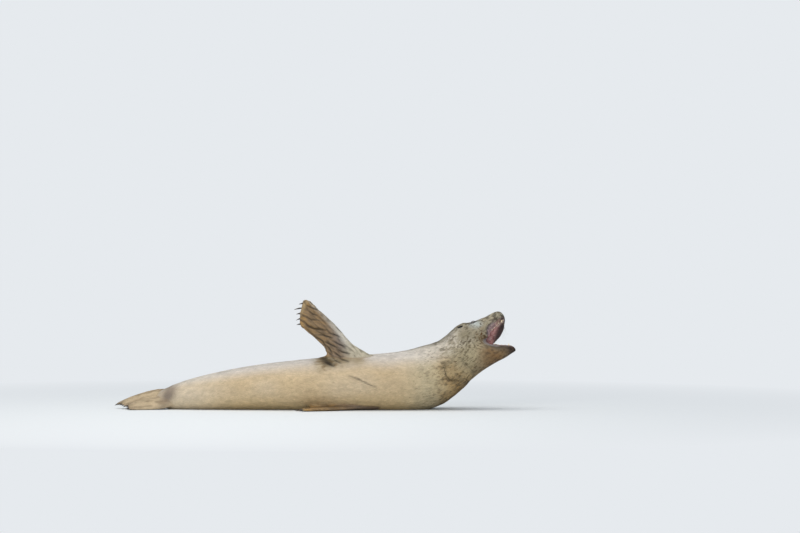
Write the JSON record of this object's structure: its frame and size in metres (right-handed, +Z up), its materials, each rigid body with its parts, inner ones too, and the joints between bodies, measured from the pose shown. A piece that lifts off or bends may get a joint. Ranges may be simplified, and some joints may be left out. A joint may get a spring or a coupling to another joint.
{
  "type": "grey seal",
  "caption": "Life-size still model of a grey seal lying on its left side, one fore flipper raised, head thrown back and mouth wide open.",
  "frame": {"origin": "centre of the bounding box, at the level of the floor that the seal lies on", "axes": "+X from the hind flippers to the head, +Y towards the animal's back, +Z up"},
  "size_m": [1.8512, 0.4098, 0.4999],
  "materials": {
    "pale_coat": "short pale fawn fur lying flat, sparsely spotted",
    "neck_coat": "short fawn fur with fine dark mottling",
    "head_coat": "short grey-brown fur with fine dark mottling",
    "jaw_coat": "wet brown fur",
    "flipper_skin": "wrinkled brown skin with short hair",
    "claw": "dark horn, satin",
    "eye": "wet black",
    "mouth_lining": "wet pink, with cream teeth",
    "tongue": "wet pink"
  },
  "bodies": {
    "root": {"hips": "pale_coat", "belly": "pale_coat", "chest": "pale_coat", "tail": "pale_coat", "neck": "neck_coat", "throat": "neck_coat", "head": "head_coat", "lower_jaw": "jaw_coat", "eye_right": "eye", "eye_left": "eye", "palate": "mouth_lining", "mouth_floor": "mouth_lining", "tongue": "tongue", "fore_flipper_right": "flipper_skin", "fore_flipper_left": "flipper_skin", "hind_flipper_right": "flipper_skin", "hind_flipper_left": "flipper_skin", "claw_fore_right_1": "claw", "claw_fore_right_2": "claw", "claw_fore_right_3": "claw", "claw_fore_right_4": "claw", "claw_fore_right_5": "claw", "claw_fore_left_1": "claw", "claw_fore_left_2": "claw", "claw_fore_left_3": "claw", "claw_fore_left_4": "claw", "claw_fore_left_5": "claw", "claw_hind_right_1": "claw", "claw_hind_right_2": "claw", "claw_hind_right_3": "claw", "claw_hind_right_4": "claw", "claw_hind_right_5": "claw", "claw_hind_left_1": "claw", "claw_hind_left_2": "claw", "claw_hind_left_3": "claw", "claw_hind_left_4": "claw", "claw_hind_left_5": "claw"}
  },
  "joints": []
}
